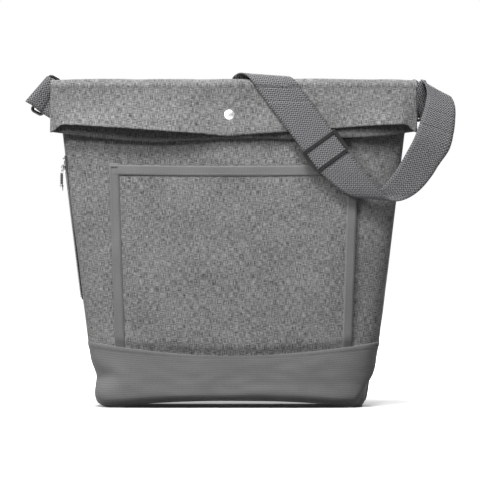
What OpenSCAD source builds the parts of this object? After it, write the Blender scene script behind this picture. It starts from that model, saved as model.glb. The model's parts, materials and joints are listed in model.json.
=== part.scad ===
// Fold-over shoulder tote bag: a soft shell that tapers from a boxed base to a flat top,
// with its top turned down over the front as a flap. Millimetres, +Z up, front towards -Y.
// The origin is on the ground, at the middle of the base.

/* [Bag] */
// Width across the folded top
top_w = 404; // [380:2:420]
// Width just under the flap
shoulder_w = 378; // [350:2:390]
// Width at the seam of the base panel
seam_w = 320; // [300:2:330]
// Width of the base
base_w = 296; // [280:2:300]
// Front-to-back depth of the base
base_d = 100; // [80:2:110]
// Depth at the seam of the base panel
seam_d = 87; // [76:1:96]
// Depth just under the flap
shoulder_d = 26; // [24:1:28]
// Depth of the neck, under the fold
neck_d = 14; // [13:1:15]
// Height of the plain base panel
base_panel_h = 66; // [50:1:80]
// Height at which the bag is as deep as shoulder_d
shoulder_z = 300; // [290:1:305]
// Height of the creases of the fold
fold_z = 352; // [348:1:356]
// Thickness of the body cloth with its lining
wall = 1.6; // [1.2:0.1:2]

/* [Flap] */
// Height of the fold's crown over its creases
crown_h = 9; // [6:0.5:10]
// Depth of the fold, from its back crease to its front crease
fold_d = 20; // [18:0.5:22]
// Thickness of a rim
rim_t = 1.2; // [0.8:0.1:1.4]
// Lower edge of the outer rim, clear of the snap
outer_rim_z = 309; // [304:1:312]
// How far the snap draws the outer rim down
snap_dip = 12; // [6:1:14]
// Lower edge of the inner rim, at its middle
inner_rim_z = 290.5; // [288:0.5:296]
// Slope of the rims away from the bag
rim_slope = 0.105; // [0.1:0.005:0.12]

/* [Snap] */
// Diameter of the snap's cap
snap_cap_d = 12.5; // [11:0.5:14]
// Height of the snap over the ground
snap_z = 320; // [317:1:323]
// Sideways place of the snap
snap_x = -5; // [-10:1:10]

/* [Pocket] */
// Width of the pocket at its top, over the tapes
pocket_top_w = 273; // [260:1:280]
// Width of the pocket at its foot, over the tapes
pocket_foot_w = 258; // [240:1:265]
// Height of the pocket's top edge
pocket_top_z = 265; // [250:1:270]
// Width of the binding and of the tapes
tape_w = 10; // [8:0.5:12]

/* [Zip] */
// Lower end of the zip
zip_low_z = 122; // [110:1:140]
// Upper end of the zip
zip_high_z = 272; // [266:1:276]
// Height of the closed slider's middle
zip_slider_z = 263; // [255:1:264]
// Width of one row of the coil
coil_w = 2; // [1.6:0.1:2.4]

/* [Strap] */
// Width of the webbing
webbing_w = 38; // [36:0.5:40]
// Thickness of the webbing
webbing_t = 1.6; // [1.2:0.1:1.8]
// Radius of a ring's bars
ring_bar_r = 1.8; // [1.6:0.1:2]
// Length of the tri-glide slider along the strap
glide_len = 29; // [26:0.5:32]

/* [Hidden] */

gap = 0.3;              // free space between pieces that move past each other
hinge_gap = 1.5;        // free space at a crease
floor_t = 1.8;          // thickness of the base panel's floor
edge_round = 8;         // height of the rounding round the foot of the base
ring_steps = 64;        // points round the bag
panel_rows = [base_panel_h, 110, 160, 210, 260, shoulder_z, 326, fold_z - hinge_gap];
flap_steps = 28;        // steps across the fold and the rims

crease_back_y = neck_d / 2;
crease_front_y = crease_back_y - fold_d;
fold_mid_y = (crease_back_y + crease_front_y) / 2;
inner_rim_y = crease_front_y + 3.6;
rim_top_z = fold_z - hinge_gap;

webbing_grey = [0.38, 0.38, 0.39];
plain_grey = [0.42, 0.42, 0.41];
melange_grey = [0.5, 0.5, 0.5];
plastic_black = [0.12, 0.12, 0.12];
nickel = [0.78, 0.78, 0.76];

// ---- Shape of the bag -------------------------------------------------------

function half_width(z) = lookup(z, [
    [0, base_w / 2 - edge_round],
    [edge_round / 2, base_w / 2 - 2],
    [edge_round, base_w / 2],
    [base_panel_h, seam_w / 2],
    [shoulder_z, shoulder_w / 2],
    [fold_z, top_w / 2]]);

function half_depth(z) = lookup(z, [
    [0, base_d / 2 - edge_round],
    [edge_round / 2, base_d / 2 - 2],
    [edge_round, base_d / 2],
    [base_panel_h, seam_d / 2],
    [shoulder_z, shoulder_d / 2],
    [fold_z, neck_d / 2]]);

// How square the plan of the bag is: 2 is an ellipse, and larger is squarer.
function squareness(z) = lookup(z, [[0, 5], [base_panel_h, 4], [shoulder_z, 4], [fold_z, 6]]);

function powered(v, n) = sign(v) * pow(abs(v), n);

function wall_point(angle, z, inset = 0) =
    let (n = squareness(z))
    [(half_width(z) - inset) * powered(cos(angle), 2 / n),
     (half_depth(z) - inset) * powered(sin(angle), 2 / n), z];

// Distance from the middle plane to the front or back wall at x, and to a side wall at y.
function wall_y(x, z) =
    let (n = squareness(z))
    half_depth(z) * pow(max(0, 1 - pow(abs(x) / half_width(z), n)), 1 / n);
function wall_x(y, z) =
    let (n = squareness(z))
    half_width(z) * pow(max(0, 1 - pow(abs(y) / half_depth(z), n)), 1 / n);

// ---- Solids from grids of points --------------------------------------------

function joined(lists) = [for (list = lists) for (item = list) item];
function unit(v) = v / norm(v);
function mix(a, b, t) = a * (1 - t) + b * t;

// Normal of a grid's surface at row i, column j.
function normal_at(grid, i, j) =
    let (rows = len(grid) - 1, columns = len(grid[0]) - 1,
         along = grid[min(rows, i + 1)][j] - grid[max(0, i - 1)][j],
         across = grid[i][min(columns, j + 1)] - grid[i][max(0, j - 1)])
    unit(cross(along, across));

function moved_out(grid, distance) =
    [for (i = [0:len(grid) - 1])
        [for (j = [0:len(grid[0]) - 1]) grid[i][j] + distance * normal_at(grid, i, j)]];

// A closed solid between two grids of the same size. a lies on the side of the normals.
module between(a, b) {
    rows = len(a);
    columns = len(a[0]);
    second = rows * columns;
    function at(i, j) = i * columns + j;
    face = [for (i = [0:rows - 2]) for (j = [0:columns - 2])
        [at(i, j), at(i, j + 1), at(i + 1, j + 1), at(i + 1, j)]];
    ends = [for (j = [0:columns - 2]) each [
        [at(0, j), at(0, j) + second, at(0, j + 1) + second, at(0, j + 1)],
        [at(rows - 1, j + 1), at(rows - 1, j + 1) + second, at(rows - 1, j) + second, at(rows - 1, j)]]];
    sides = [for (i = [0:rows - 2]) each [
        [at(i + 1, 0), at(i + 1, 0) + second, at(i, 0) + second, at(i, 0)],
        [at(i, columns - 1), at(i, columns - 1) + second,
         at(i + 1, columns - 1) + second, at(i + 1, columns - 1)]]];
    quads = concat([for (q = face) [q[3], q[2], q[1], q[0]]],
                   [for (q = face) q + [second, second, second, second]],
                   [for (q = concat(ends, sides)) [q[3], q[2], q[1], q[0]]]);
    triangles = [for (q = quads) each [[q[2], q[1], q[0]], [q[3], q[2], q[0]]]];
    polyhedron(points = joined(concat(a, b)), faces = triangles);
}

// Cloth of thickness t round the middle surface that a grid gives.
module sheet(grid, t) {
    between(moved_out(grid, t / 2), moved_out(grid, -t / 2));
}

// A grid of webbing from its two edges, each a list of points.
function webbing_grid(left_edge, right_edge, columns = 3) =
    [for (i = [0:len(left_edge) - 1])
        [for (j = [0:columns]) mix(left_edge[i], right_edge[i], j / columns)]];

// ---- Body -------------------------------------------------------------------

module base_panel() {
    outer_z = [0, edge_round / 2, edge_round, 30, base_panel_h];
    inner_z = [base_panel_h, 30, edge_round, floor_t];
    function turn(z, inset) = [for (k = [0:ring_steps - 1]) wall_point(k * 360 / ring_steps, z, inset)];
    function at(i, k) = i * ring_steps + k % ring_steps;
    rings = concat([for (z = outer_z) turn(z, 0)], [for (z = inner_z) turn(z, wall)]);
    last = len(rings) - 1;
    sides = [for (i = [0:last - 1]) for (k = [0:ring_steps - 1]) each [
        [at(i, k), at(i + 1, k), at(i + 1, k + 1)],
        [at(i, k), at(i + 1, k + 1), at(i, k + 1)]]];
    underside = [for (k = [0:ring_steps - 1]) at(0, k)];
    floor_face = [for (k = [ring_steps - 1:-1:0]) at(last, k)];
    color(plain_grey) polyhedron(points = joined(rings), faces = concat(sides, [underside, floor_face]));
}

// Half of the bag's wall: the front from 180 degrees, or the back from 0.
module body_panel(from) {
    function rows(inset) = [for (z = panel_rows)
        [for (k = [0:ring_steps / 2]) wall_point(from + k * 360 / ring_steps, z, inset)]];
    color(melange_grey) between(rows(wall), rows(0));
}
module front_panel() { body_panel(180); }
module back_panel() { body_panel(0); }

// ---- Pocket -----------------------------------------------------------------

function pocket_half(z) = mix(pocket_foot_w, pocket_top_w, (z - base_panel_h) / (pocket_top_z - base_panel_h)) / 2;

// A strip that lies on the front panel, from share a to share b of the pocket's half width.
module front_patch(a, b, low_z, high_z, lift, t, columns, rows = 5) {
    grid = [for (i = [0:rows])
        let (z = mix(low_z, high_z, i / rows))
        [for (j = [0:columns])
            let (x = mix(a(z), b(z), j / columns))
            [x, -wall_y(x, z) - lift, z]]];
    sheet(grid, t);
}
module pocket_panel() {
    color(melange_grey) front_patch(function (z) -pocket_half(z) + tape_w, function (z) pocket_half(z) - tape_w,
                                    base_panel_h + 0.5, pocket_top_z - tape_w, 2.4, 1, 12);
}
module pocket_binding() {
    color(plain_grey) front_patch(function (z) -pocket_half(z) + tape_w, function (z) pocket_half(z) - tape_w,
                                  pocket_top_z - tape_w + 0.1, pocket_top_z, 2.6, 1.6, 12, 1);
}
module pocket_tape(side) {
    color(plain_grey) front_patch(function (z) side * pocket_half(z) - (side > 0 ? tape_w - 0.1 : 0),
                                  function (z) side * pocket_half(z) + (side > 0 ? 0 : tape_w - 0.1),
                                  base_panel_h + 0.5, pocket_top_z + 2, 1.6, 1.6, 2);
}
module pocket_tape_left() { pocket_tape(-1); }
module pocket_tape_right() { pocket_tape(1); }

// ---- Zip in the left side seam ----------------------------------------------

zip_lean = atan((shoulder_w - seam_w) / 2 / (shoulder_z - base_panel_h));
zip_tape_w = 7;
zip_tape_t = 0.7;
coil_t = 1.5;
slider_len = 9;
slider_wall = 1.2;
coil_gap = 0.35;
slider_half = coil_w + coil_gap + slider_wall;
coil_out = zip_tape_t + 0.5;
slider_face = coil_out + coil_t + coil_gap + slider_wall;
pull_pin_out = slider_face + 1.6;

// The seam's own axes: X out of the bag, Y to the back, Z up along the seam.
module on_zip(z) {
    translate([-half_width(z), 0, z]) rotate([0, -zip_lean, 0]) rotate([0, 0, 180]) children();
}
module zip_tape(side) {
    rows = 4;
    grid = [for (i = [0:rows])
        let (z = mix(zip_low_z - 4, zip_high_z + 4, i / rows))
        [for (j = [0:4])
            let (y = side * mix(0.2, zip_tape_w, j / 4))
            [-wall_x(y, z) - 0.6, y, z]]];
    color(webbing_grey) sheet(grid, zip_tape_t);
}
module zip_tape_front() { zip_tape(-1); }
module zip_tape_back() { zip_tape(1); }

module zip_coil(side) {
    length = (zip_high_z - zip_low_z) / cos(zip_lean);
    color(plastic_black) on_zip(zip_low_z)
        translate([coil_out, side > 0 ? 0.05 : -coil_w, 0]) cube([coil_t, coil_w - 0.05, length]);
}
// on_zip turns left and right round, so the front row is the one on its +Y side.
module zip_coil_front() { zip_coil(1); }
module zip_coil_back() { zip_coil(-1); }

module zip_stop(z) {
    color(nickel) on_zip(z) translate([coil_out, -coil_w - 0.6, 0]) cube([coil_t + 0.6, 2 * coil_w + 1.2, 2]);
}
module zip_top_stop() { zip_stop(zip_high_z + 0.3); }
module zip_bottom_stop() { zip_stop(zip_low_z - 2.4); }

module zip_slider() {
    pin_r = 0.6;
    ear_t = 1;
    color(nickel) on_zip(zip_slider_z) {
        difference() {
            translate([coil_out + 0.1, -slider_half, -slider_len / 2])
                cube([slider_face - coil_out - 0.1, 2 * slider_half, slider_len]);
            translate([coil_out - 1, -coil_w - coil_gap, -slider_len])
                cube([1 + coil_t + coil_gap, 2 * (coil_w + coil_gap), 2 * slider_len]);
        }
        for (side = [-1, 1])
            translate([slider_face - 0.1, side * 2.4 - ear_t / 2, -1.4]) cube([2.8, ear_t, 2.8]);
        translate([pull_pin_out, 2.4, 0]) rotate([90, 0, 0]) cylinder(r = pin_r, h = 4.8, $fn = 24);
    }
}

// The pull's pin: the pull hangs plumb from it, whatever the lean of the seam.
module on_pull() {
    translate([-half_width(zip_slider_z) - pull_pin_out * cos(zip_lean), 0,
               zip_slider_z - pull_pin_out * sin(zip_lean)]) children();
}
link_bore = 0.75;
link_w = 3;
module zip_pull_link() {
    color(nickel) on_pull() difference() {
        union() {
            translate([0, link_w / 2, 0]) rotate([90, 0, 0]) cylinder(r = 1.5, h = link_w, $fn = 32);
            translate([-0.6, -link_w / 2, -7]) cube([1.2, link_w, 6.4]);
        }
        translate([0, link_w, 0]) rotate([90, 0, 0]) cylinder(r = link_bore, h = 2 * link_w, $fn = 32);
    }
}
module zip_pull_grip() {
    color(webbing_grey) on_pull() translate([-1.1, -2.4, -18]) cube([2.2, 4.8, 11]);
}
module zip_pull_tip() {
    color(nickel) on_pull() translate([0, 0, -25]) cylinder(r1 = 1.5, r2 = 1.9, h = 7, $fn = 32);
}

// ---- Fold and flap ----------------------------------------------------------

rim_half_w = top_w / 2 - 0.5;
function across(j) = mix(-rim_half_w, rim_half_w, j / flap_steps);
function crown_at(x) = crown_h * (1 - 0.5 * pow(abs(x) / rim_half_w, 8));

module fold_band() {
    steps = 10;
    grid = [for (i = [0:steps])
        let (angle = i * 180 / steps)
        [for (j = [0:flap_steps])
            [across(j), fold_mid_y + fold_d / 2 * cos(angle), fold_z + crown_at(across(j)) * sin(angle)]]];
    color(melange_grey) sheet(grid, rim_t);
}

function inner_edge(x) = inner_rim_z + 9.5 * pow(x / rim_half_w, 2);
function outer_edge(x) = outer_rim_z - snap_dip * exp(-pow((x - snap_x) / 60, 2));
function inner_rim_at(z) = inner_rim_y - rim_slope * (rim_top_z - z);
function outer_rim_at(z) = crease_front_y - rim_slope * (rim_top_z - z);

module snap_frame(y) {
    translate([snap_x, y, snap_z]) rotate([90 - atan(rim_slope), 0, 0]) children();
}

post_r = 1.4;
module inner_rim() {
    rows = 4;
    grid = [for (i = [0:rows])
        [for (j = [0:flap_steps])
            let (x = across(j), z = mix(inner_edge(x), rim_top_z, i / rows))
            [x * 0.995, inner_rim_at(z), z]]];
    color(melange_grey) difference() {
        sheet(grid, rim_t);
        snap_frame(inner_rim_at(snap_z)) translate([0, 0, -3]) cylinder(r = post_r + 0.1, h = 6, $fn = 32);
    }
}
module outer_rim() {
    rows = 4;
    grid = [for (i = [0:rows])
        [for (j = [0:flap_steps])
            let (x = across(j), z = mix(outer_edge(x), rim_top_z, i / rows))
            [x, outer_rim_at(z), z]]];
    color(melange_grey) difference() {
        sheet(grid, rim_t);
        snap_frame(outer_rim_at(snap_z)) translate([0, 0, -3]) cylinder(r = post_r + 0.1, h = 6, $fn = 32);
    }
}

// ---- Snap: cap and socket on the outer rim, stud and eyelet on the inner rim ----

half_rim = rim_t / 2;
rims_apart = inner_rim_at(snap_z) - outer_rim_at(snap_z);
socket_h = 1.5;
knob_r = 2.2;
module snap_cap() {
    dome_r = 9;
    dome_h = 2.2;
    color(nickel) snap_frame(outer_rim_at(snap_z)) {
        translate([0, 0, half_rim + 0.05]) intersection() {
            cylinder(d = snap_cap_d, h = dome_h + 1, $fn = 64);
            translate([0, 0, dome_h + 0.3 - dome_r]) sphere(r = dome_r, $fn = 96);
        }
        translate([0, 0, -half_rim - 0.3]) cylinder(r = post_r, h = rim_t + 0.5, $fn = 32);
    }
}
module snap_socket() {
    color(nickel) snap_frame(outer_rim_at(snap_z)) translate([0, 0, -half_rim - 0.35 - socket_h]) difference() {
        cylinder(r = 5.2, h = socket_h, $fn = 64);
        translate([0, 0, -1]) cylinder(r = knob_r + 0.6, h = socket_h + 0.6, $fn = 48);
    }
}
module snap_stud() {
    color(nickel) snap_frame(inner_rim_at(snap_z)) {
        translate([0, 0, -half_rim - 0.3]) cylinder(r = post_r, h = rim_t + 0.4, $fn = 32);
        translate([0, 0, half_rim + 0.05]) cylinder(r = 4.2, h = 0.3, $fn = 48);
        translate([0, 0, half_rim + 0.3]) cylinder(r = knob_r, h = rims_apart - rim_t - socket_h + 0.3, $fn = 48);
    }
}
module snap_eyelet() {
    color(nickel) snap_frame(inner_rim_at(snap_z)) translate([0, 0, -half_rim - 0.35]) difference() {
        cylinder(r = 4.2, h = 0.3, $fn = 48);
        translate([0, 0, -1]) cylinder(r = post_r + 0.05, h = 3, $fn = 32);
    }
}

// ---- Strap rings ------------------------------------------------------------

ring_half_len = 21.8;   // middle of a ring to the middle of its end bars
ring_half_w = 6.2;      // middle of a ring to the middle of its long bars
ring_corner = 3;
left_ring = [-209, 20, 344];
left_tilt = -61.4;      // turn of the long axis of a ring about Y, from +X
right_ring = [203, 20, 338];
right_tilt = -106.1;

module ring_frame(place, tilt) {
    translate(place) rotate([0, tilt, 0]) rotate([90, 0, 0]) children();
}
module ring_shape() {
    long = ring_half_len - ring_corner;
    short = ring_half_w - ring_corner;
    for (side = [-1, 1]) {
        translate([-long, side * ring_half_w, 0]) rotate([0, 90, 0])
            cylinder(r = ring_bar_r, h = 2 * long, $fn = 24);
        translate([side * ring_half_len, -short, 0]) rotate([-90, 0, 0])
            cylinder(r = ring_bar_r, h = 2 * short, $fn = 24);
    }
    for (turn = [[long, short, 0], [-long, short, 90], [-long, -short, 180], [long, -short, 270]])
        translate([turn[0], turn[1], 0]) rotate([0, 0, turn[2]])
            rotate_extrude(angle = 90, $fn = 48) translate([ring_corner, 0]) circle(r = ring_bar_r, $fn = 24);
}
module ring_left() { color(plastic_black) ring_frame(left_ring, left_tilt) ring_shape(); }
module ring_right() { color(plastic_black) ring_frame(right_ring, right_tilt) ring_shape(); }

// A ring's long axis, and its short axis towards the bag.
function long_axis(tilt) = [cos(tilt), 0, -sin(tilt)];
left_in = [-sin(left_tilt), 0, -cos(left_tilt)];
right_in = [sin(right_tilt), 0, cos(right_tilt)];

// Webbing across a ring: path gives [distance along the short axis, place in Y] from the ring's middle.
module ring_webbing(place, tilt, inward, path) {
    half = long_axis(tilt) * webbing_w / 2;
    middle = [for (p = path) place + inward * p[0] + [0, p[1], 0]];
    color(webbing_grey) sheet(webbing_grid([for (m = middle) m - half], [for (m = middle) m + half]), webbing_t);
}

// Half a turn of radius r round a bar at distance s, from one side of the ring to the other.
function wrap(s, r, steps = 6) = [for (i = [0:steps])
    let (angle = -90 + i * 180 / steps)
    [s - r * cos(angle), r * sin(angle)]];

tab_r = 3;
module ring_tab(place, tilt, inward, seam_y) {
    legs_end = 26;
    ring_webbing(place, tilt, inward, concat(
        [[legs_end, seam_y - place[1] + 1], [legs_end - 9, -6.5]],
        wrap(ring_half_w, tab_r),
        [[legs_end - 9, -0.5], [legs_end, seam_y - place[1] + 3]]));
}
module ring_tab_left() { ring_tab(left_ring, left_tilt, left_in, 11); }
module ring_tab_right() { ring_tab(right_ring, right_tilt, right_in, 11); }

end_r = 4.9;
module strap_end_left() {
    ring_webbing(left_ring, left_tilt, left_in, concat([[4, -end_r]], wrap(-ring_half_w, end_r), [[4, end_r]]));
}
module strap_end_right() {
    ring_webbing(right_ring, right_tilt, -right_in, concat([[13.5, -tab_r]], wrap(ring_half_w, tab_r), [[13.5, tab_r]]));
}

// ---- Strap ------------------------------------------------------------------

strap_lean = 0.74;      // sideways run of the strap for each mm of its fall
strap_slope = 0.165;    // slope of the strap away from the bag, more than the rims' own
strap_run = sqrt(1 + strap_slope * strap_slope);    // length of the strap's plane for each mm of height
strap_half_row = webbing_w / 2 * sqrt(1 + pow(strap_lean / strap_run, 2));
strap_clear = 0.8;      // free space between the strap and the cloth at the creases
strap_front_y = crease_front_y - rim_t / 2 - webbing_t / 2 - strap_clear;
strap_back_y = crease_back_y + rim_t / 2 + webbing_t / 2 + strap_clear;
strap_front_x = 49;
front_end_z = 262;
over_x = 22;            // sideways place of the strap at the back crease

function strap_y(z) = strap_front_y - strap_slope * (rim_top_z - z);
function strap_x(z) = strap_front_x + strap_lean * (rim_top_z - z);
function flat_row(x, y, z) = [[x - strap_half_row, y, z], [x + strap_half_row, y, z]];

module strap(rows, columns = 3) {
    color(webbing_grey) sheet(webbing_grid([for (r = rows) r[0]], [for (r = rows) r[1]], columns), webbing_t);
}

// The rear run hangs from the left ring and rises to the fold, close behind the back panel.
rear_middle = [[-200, 24.9, 339], [-170, 25, 322], [-138, 26, 304], [-104, 27, 286], [-70, 26, 275],
               [-36, 24, 280], [-12, 19, 304], [6, 13, 328]];
rear_side = [[9, 0, 17], [9, 0, 17], [9, 0, 17], [8, 0, 17], [0, 0, 19], [-9, 0, 17], [-15, 0, 11], [-18, 0, 8]];
module strap_rear_run() {
    strap(concat([for (i = [0:len(rear_middle) - 1]) [rear_middle[i] + rear_side[i], rear_middle[i] - rear_side[i]]],
                 [flat_row(over_x, strap_back_y, rim_top_z)]));
}
// The strap is left open round each crease, where it bends as the bag unfolds.
module strap_over_fold() {
    steps = 10;
    crease_angle = 36;
    half_d = (strap_back_y - strap_front_y) / 2;
    strap([for (i = [0:steps])
        let (angle = mix(crease_angle, 180 - crease_angle, i / steps))
        flat_row(mix(over_x, strap_front_x, angle / 180), fold_mid_y + half_d * cos(angle),
                 fold_z + (crown_h + rim_t / 2 + webbing_t / 2 + strap_clear) * sin(angle))]);
}
module strap_front_run() {
    strap([for (z = [rim_top_z - 2.5, 306, front_end_z + 0.1]) flat_row(strap_x(z), strap_y(z), z)]);
}
// The loop falls below the slider, rolls under at its foot, and rises to the right.
module strap_loop() {
    strap(concat([flat_row(strap_x(front_end_z), strap_y(front_end_z), front_end_z)], [
        [[107, -31.5, 246], [152, -31.5, 246]],
        [[120, -32, 236], [161, -32, 236]],
        [[130, -31, 231], [170, -31, 228]],
        [[138, -27.5, 230], [180, -27.5, 226]],
        [[150, -24.5, 233], [191, -25, 229]],
        [[163, -24, 240], [204, -25, 238]],
        [[178, -23.5, 258], [216, -24, 252]],
        [[190, -23, 278], [225, -23.5, 266]],
        [[199, -22.5, 294], [234, -22.5, 282]],
        [[206, -19, 310], [240, -19, 300]],
        [[210, -13, 328], [243, -14, 316]],
        [[212, -5, 344], [243, -6, 330]],
        [[211, 2, 355], [240, 2, 338]]]));
}
module strap_right_link() {
    strap([[[211, 3.5, 356], [239, 3.5, 338]],
           [[211, 11, 358], [235, 11, 333]],
           [[213, 20, 359], [228, 20, 325]],
           [[213.5, 23, 360], [224, 23, 323.5]]]);
}

// The tri-glide: two bars before the webbing, one behind it, and two side bars that join them.
module strap_slider() {
    side_w = 4;
    bar_w = 4.5;
    bar_t = 1.6;
    clear = webbing_t / 2 + gap;
    half_len = glide_len / 2;
    half_w = webbing_w / 2 + gap;
    fall = atan(strap_run / strap_lean);
    z = 280.5;
    color(plastic_black) translate([strap_x(z), strap_y(z), z]) rotate([-atan(strap_slope), 0, 0])
        rotate([0, fall, 0]) rotate([90, 0, 0]) {
            for (side = [-1, 1]) {
                translate([-half_len, side > 0 ? half_w : -half_w - side_w, -clear - bar_t])
                    cube([glide_len, side_w, 2 * (clear + bar_t)]);
                translate([side > 0 ? half_len - bar_w : -half_len, -half_w - 0.1, clear])
                    cube([bar_w, 2 * half_w + 0.2, bar_t]);
            }
            translate([-bar_w / 2, -half_w - 0.1, -clear - bar_t]) cube([bar_w, 2 * half_w + 0.2, bar_t]);
        }
}

base_panel();
front_panel();
back_panel();
pocket_panel();
pocket_binding();
pocket_tape_left();
pocket_tape_right();
zip_tape_front();
zip_tape_back();
zip_coil_front();
zip_coil_back();
zip_top_stop();
zip_bottom_stop();
zip_slider();
zip_pull_link();
zip_pull_grip();
zip_pull_tip();
fold_band();
inner_rim();
outer_rim();
snap_cap();
snap_socket();
snap_stud();
snap_eyelet();
ring_tab_left();
ring_tab_right();
ring_left();
ring_right();
strap_end_left();
strap_rear_run();
strap_over_fold();
strap_front_run();
strap_loop();
strap_right_link();
strap_end_right();
strap_slider();
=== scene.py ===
# Looks of a soft fold-over shoulder tote: cloth, webbing, zip, rings, snap, light and camera.
# Shapes are worked out in millimetres in the CAD frame, and written to meshes in metres.
import json
import math
import bpy
from mathutils import Matrix, Vector, noise
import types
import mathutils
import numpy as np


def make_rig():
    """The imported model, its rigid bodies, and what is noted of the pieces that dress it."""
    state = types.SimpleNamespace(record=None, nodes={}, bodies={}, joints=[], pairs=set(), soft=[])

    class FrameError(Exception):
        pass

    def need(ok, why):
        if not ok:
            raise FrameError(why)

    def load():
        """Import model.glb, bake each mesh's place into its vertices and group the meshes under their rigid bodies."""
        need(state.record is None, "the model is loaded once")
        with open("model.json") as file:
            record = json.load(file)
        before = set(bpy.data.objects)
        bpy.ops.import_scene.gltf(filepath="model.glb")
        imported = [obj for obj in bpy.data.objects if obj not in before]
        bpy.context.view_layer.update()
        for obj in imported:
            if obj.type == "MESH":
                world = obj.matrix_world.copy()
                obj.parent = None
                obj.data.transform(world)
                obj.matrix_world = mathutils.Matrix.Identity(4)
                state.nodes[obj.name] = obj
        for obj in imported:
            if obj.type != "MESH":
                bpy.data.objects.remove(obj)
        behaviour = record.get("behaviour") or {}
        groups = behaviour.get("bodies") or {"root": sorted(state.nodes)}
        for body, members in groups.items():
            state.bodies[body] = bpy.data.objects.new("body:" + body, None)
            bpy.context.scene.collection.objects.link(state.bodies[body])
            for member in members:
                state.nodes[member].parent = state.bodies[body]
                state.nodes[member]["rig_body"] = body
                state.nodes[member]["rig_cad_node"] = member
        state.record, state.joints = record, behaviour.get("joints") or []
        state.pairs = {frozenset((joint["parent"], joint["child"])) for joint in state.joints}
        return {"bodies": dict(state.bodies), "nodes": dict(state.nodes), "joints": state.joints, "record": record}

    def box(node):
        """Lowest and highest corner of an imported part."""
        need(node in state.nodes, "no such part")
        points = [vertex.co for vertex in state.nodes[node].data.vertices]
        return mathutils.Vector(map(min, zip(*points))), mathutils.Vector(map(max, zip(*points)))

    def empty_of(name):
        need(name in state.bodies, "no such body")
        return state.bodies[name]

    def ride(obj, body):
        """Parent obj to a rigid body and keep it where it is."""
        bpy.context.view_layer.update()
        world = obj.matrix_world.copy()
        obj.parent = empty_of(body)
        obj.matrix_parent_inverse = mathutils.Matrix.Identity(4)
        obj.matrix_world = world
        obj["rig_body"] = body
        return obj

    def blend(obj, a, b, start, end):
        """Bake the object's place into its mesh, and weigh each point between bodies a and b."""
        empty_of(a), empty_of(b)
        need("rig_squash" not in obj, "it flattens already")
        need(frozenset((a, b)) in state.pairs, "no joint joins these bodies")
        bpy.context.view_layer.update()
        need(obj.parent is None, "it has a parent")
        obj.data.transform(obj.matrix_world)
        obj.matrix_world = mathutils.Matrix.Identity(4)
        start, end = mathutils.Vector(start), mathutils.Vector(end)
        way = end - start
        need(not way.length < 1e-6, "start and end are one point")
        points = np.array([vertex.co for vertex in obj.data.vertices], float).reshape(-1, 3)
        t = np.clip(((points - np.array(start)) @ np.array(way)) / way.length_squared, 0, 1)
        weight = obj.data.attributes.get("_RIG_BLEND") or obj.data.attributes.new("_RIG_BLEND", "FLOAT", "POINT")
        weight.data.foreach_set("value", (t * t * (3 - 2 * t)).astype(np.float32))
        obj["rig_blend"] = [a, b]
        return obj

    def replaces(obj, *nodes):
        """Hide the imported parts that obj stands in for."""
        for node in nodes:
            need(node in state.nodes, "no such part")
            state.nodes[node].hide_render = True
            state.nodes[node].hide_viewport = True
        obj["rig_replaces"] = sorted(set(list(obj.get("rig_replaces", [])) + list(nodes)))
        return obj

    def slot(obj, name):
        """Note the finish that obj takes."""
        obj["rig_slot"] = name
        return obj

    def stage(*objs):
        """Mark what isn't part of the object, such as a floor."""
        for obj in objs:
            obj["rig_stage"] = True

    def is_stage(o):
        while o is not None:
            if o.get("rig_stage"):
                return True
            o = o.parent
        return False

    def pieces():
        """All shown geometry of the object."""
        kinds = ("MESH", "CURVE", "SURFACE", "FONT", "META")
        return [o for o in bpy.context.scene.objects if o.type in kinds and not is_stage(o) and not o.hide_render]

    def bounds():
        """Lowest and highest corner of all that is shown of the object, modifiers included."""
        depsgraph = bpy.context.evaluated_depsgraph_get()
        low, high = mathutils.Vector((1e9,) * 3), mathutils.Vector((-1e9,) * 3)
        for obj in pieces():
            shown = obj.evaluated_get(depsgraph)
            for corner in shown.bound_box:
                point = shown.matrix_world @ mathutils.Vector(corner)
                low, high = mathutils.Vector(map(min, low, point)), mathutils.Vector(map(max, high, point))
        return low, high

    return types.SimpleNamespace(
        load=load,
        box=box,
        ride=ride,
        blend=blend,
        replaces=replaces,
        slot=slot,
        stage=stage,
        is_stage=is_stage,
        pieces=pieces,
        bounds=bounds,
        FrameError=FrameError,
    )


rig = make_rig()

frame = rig.load()
cad_low, cad_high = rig.bounds()
MM = 0.001


def span(node, axis):
    """Lowest and highest place of a CAD node along an axis, in millimetres."""
    low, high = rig.box(node)
    return low[axis] / MM, high[axis] / MM


def middle_of(node):
    """The middle of a CAD node's box, in millimetres."""
    low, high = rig.box(node)
    return (low + high) / 2 / MM


def joint_place(name):
    """A joint's place in millimetres."""
    found = [j for j in frame["joints"] if j["name"] == name][0]
    return Vector(found["pos_m"]) / MM


# ---- Driving values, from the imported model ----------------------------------

SEAM_Z = span("base_panel", 2)[1]
SEAM_HALF = span("base_panel", 0)[1]
BASE_DEPTH = span("base_panel", 1)[1]
POCKET_TOP = span("pocket_binding", 2)[1]
POCKET_TOP_HALF = span("pocket_tape_right", 0)[1]
RIM_HALF = span("outer_rim", 0)[1]
BACK_PIVOT = joint_place("fold_turn")
FRONT_PIVOT = joint_place("flap_turn")
FOLD_Z = BACK_PIVOT.z
FOLD_MID_Y = (BACK_PIVOT.y + FRONT_PIVOT.y) / 2
CROWN = span("fold_band", 2)[1] - FOLD_Z
RIM_TOP = FOLD_Z - 1.5
SNAP_X = middle_of("snap_cap").x
SNAP_Z = middle_of("snap_cap").z
WEBBING_W = 38
WEBBING_T = 1.5
RIM_SLOPE = 0.105
KNEE_Z = 300
KNEE_HALF = 189

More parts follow.
